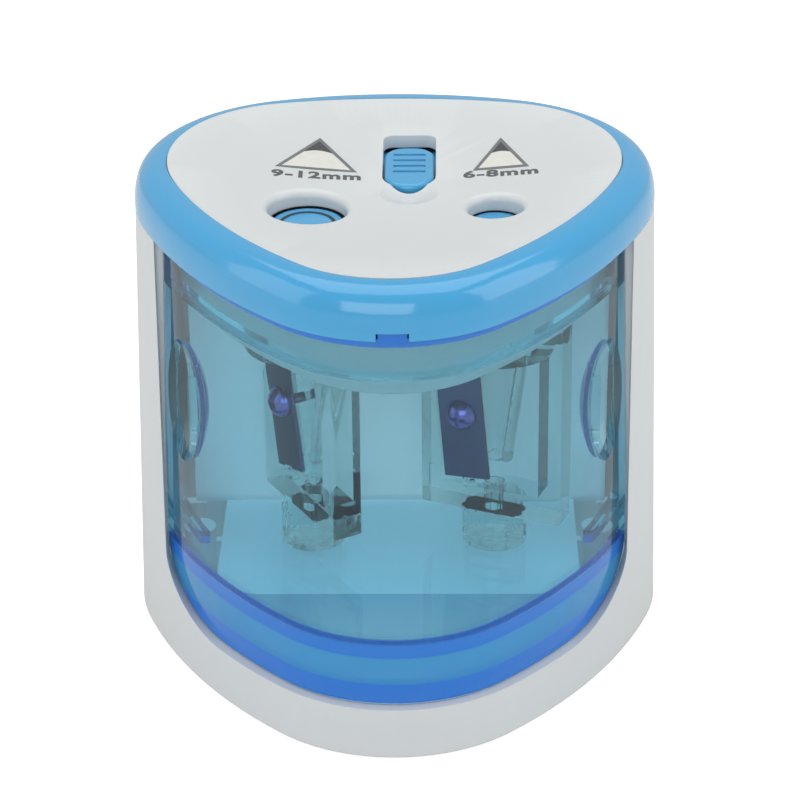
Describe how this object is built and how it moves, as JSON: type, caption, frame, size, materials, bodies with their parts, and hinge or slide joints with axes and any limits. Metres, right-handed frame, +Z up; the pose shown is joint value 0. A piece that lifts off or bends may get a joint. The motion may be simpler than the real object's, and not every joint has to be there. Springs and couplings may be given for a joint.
{
  "type": "pencil sharpener",
  "caption": "Battery desk pencil sharpener with a large and a small pencil hole, a thumb slider, geared rotary cutters and a clear front shavings drawer.",
  "frame": {"origin": "on the table under the middle of the body", "axes": "+Z up, -Y towards the drawer, +X to the right seen from the front"},
  "size_m": [0.0916, 0.0898, 0.0851],
  "materials": {
    "white_body": "satin white ABS",
    "white_inner": "white moulded ABS",
    "white_top": "satin white ABS",
    "blue_gloss": "glossy sky-blue ABS",
    "clear_blue": "transparent blue polystyrene",
    "clear_plastic": "clear polystyrene",
    "gear_nylon": "natural acetal",
    "black_nylon": "black nylon",
    "blade_steel": "ground tool steel",
    "screw_chrome": "blued bright plating",
    "bright_steel": "nickel-plated steel",
    "motor_zinc": "zinc-plated steel",
    "copper_core": "copper windings on an iron core",
    "dark_ferrite": "ferrite",
    "pinion_brass": "turned brass",
    "cell_sleeve": "printed cell sleeve",
    "wire_red": "PVC insulation",
    "foot_rubber": "black rubber"
  },
  "bodies": {
    "housing": {"outer_shell": "white_body", "base_plate": "white_body", "inner_chassis": "white_inner", "gear_deck": "white_inner", "gear_cover": "white_inner", "top_collar": "blue_gloss", "top_plate": "white_top", "shutter_pivot_screw": "bright_steel", "first_gear_shaft": "bright_steel", "second_gear_shaft": "bright_steel", "motor_can": "motor_zinc", "motor_end_bell": "black_nylon", "motor_magnets": "dark_ferrite", "motor_terminals": "pinion_brass", "motor_screws": "bright_steel", "battery_cells": "cell_sleeve", "battery_springs": "bright_steel", "battery_plates": "bright_steel", "power_switch_leaves": "pinion_brass", "interlock_switch": "black_nylon", "lead_wires": "wire_red", "base_screws": "bright_steel", "deck_screws": "bright_steel", "rubber_feet": "foot_rubber"},
    "battery_hatch": {"battery_door": "white_body"},
    "drawer": {"shavings_drawer": "clear_blue"},
    "slider": {"thumb_slider": "blue_gloss"},
    "shutter": {"safety_shutter": "blue_gloss"},
    "plunger": {"interlock_plunger": "black_nylon"},
    "large_cutter": {"large_cutter_gear": "gear_nylon", "large_blade_carrier": "clear_plastic", "large_blade": "blade_steel", "large_blade_screw": "screw_chrome", "large_tip_stop": "clear_plastic"},
    "small_cutter": {"small_cutter_gear": "gear_nylon", "small_blade_carrier": "clear_plastic", "small_blade": "blade_steel", "small_blade_screw": "screw_chrome", "small_tip_stop": "clear_plastic"},
    "second_gear": {"second_reduction_gear": "gear_nylon"},
    "first_gear": {"first_reduction_gear": "gear_nylon"},
    "rotor": {"motor_pinion": "pinion_brass", "motor_shaft": "bright_steel", "motor_armature": "copper_core"}
  },
  "joints": [
    {"name": "battery_door_swing", "type": "hinge", "parent": "housing", "child": "battery_hatch", "pos_m": [0.0004, 0.033, 0.0012], "axis": [1, 0, 0], "range_deg": [0, 80]},
    {"name": "drawer_slide", "type": "slide", "parent": "housing", "child": "drawer", "axis": [0, -1, 0], "range_m": [0, 0.06]},
    {"name": "slider_travel", "type": "slide", "parent": "housing", "child": "slider", "axis": [0, 1, 0], "range_m": [0, 0.004]},
    {"name": "shutter_swing", "type": "hinge", "parent": "housing", "child": "shutter", "pos_m": [0.00135, -0.0057, 0.0778], "axis": [0, 0, -1], "range_deg": [0, 55]},
    {"name": "plunger_travel", "type": "slide", "parent": "housing", "child": "plunger", "axis": [0, -1, 0], "range_m": [0, 0.001]},
    {"name": "large_cutter_spin", "type": "hinge", "parent": "housing", "child": "large_cutter", "pos_m": [-0.0142, -0.0057, 0.066], "axis": [0, 0, 1], "continuous": true},
    {"name": "small_cutter_spin", "type": "hinge", "parent": "housing", "child": "small_cutter", "pos_m": [0.0169, -0.0057, 0.066], "axis": [0, 0, 1], "continuous": true},
    {"name": "second_gear_spin", "type": "hinge", "parent": "housing", "child": "second_gear", "pos_m": [0.00135, 0.00066, 0.068], "axis": [0, 0, 1], "continuous": true},
    {"name": "first_gear_spin", "type": "hinge", "parent": "housing", "child": "first_gear", "pos_m": [0.00135, 0.01266, 0.072], "axis": [0, 0, 1], "continuous": true},
    {"name": "rotor_spin", "type": "hinge", "parent": "housing", "child": "rotor", "pos_m": [-0.01265, 0.0246, 0.07], "axis": [0, 0, 1], "continuous": true}
  ],
  "couplings": [
    {"joint": "shutter_swing", "follows": "slider_travel", "rad_per_m": 239.98},
    {"joint": "large_cutter_spin", "follows": "rotor_spin", "ratio": -0.069444},
    {"joint": "small_cutter_spin", "follows": "rotor_spin", "ratio": -0.069444},
    {"joint": "second_gear_spin", "follows": "rotor_spin", "ratio": 0.13889},
    {"joint": "first_gear_spin", "follows": "rotor_spin", "ratio": -0.27778},
    {"joint": "plunger_travel", "follows": "drawer_slide", "ratio": 0.0166}
  ]
}
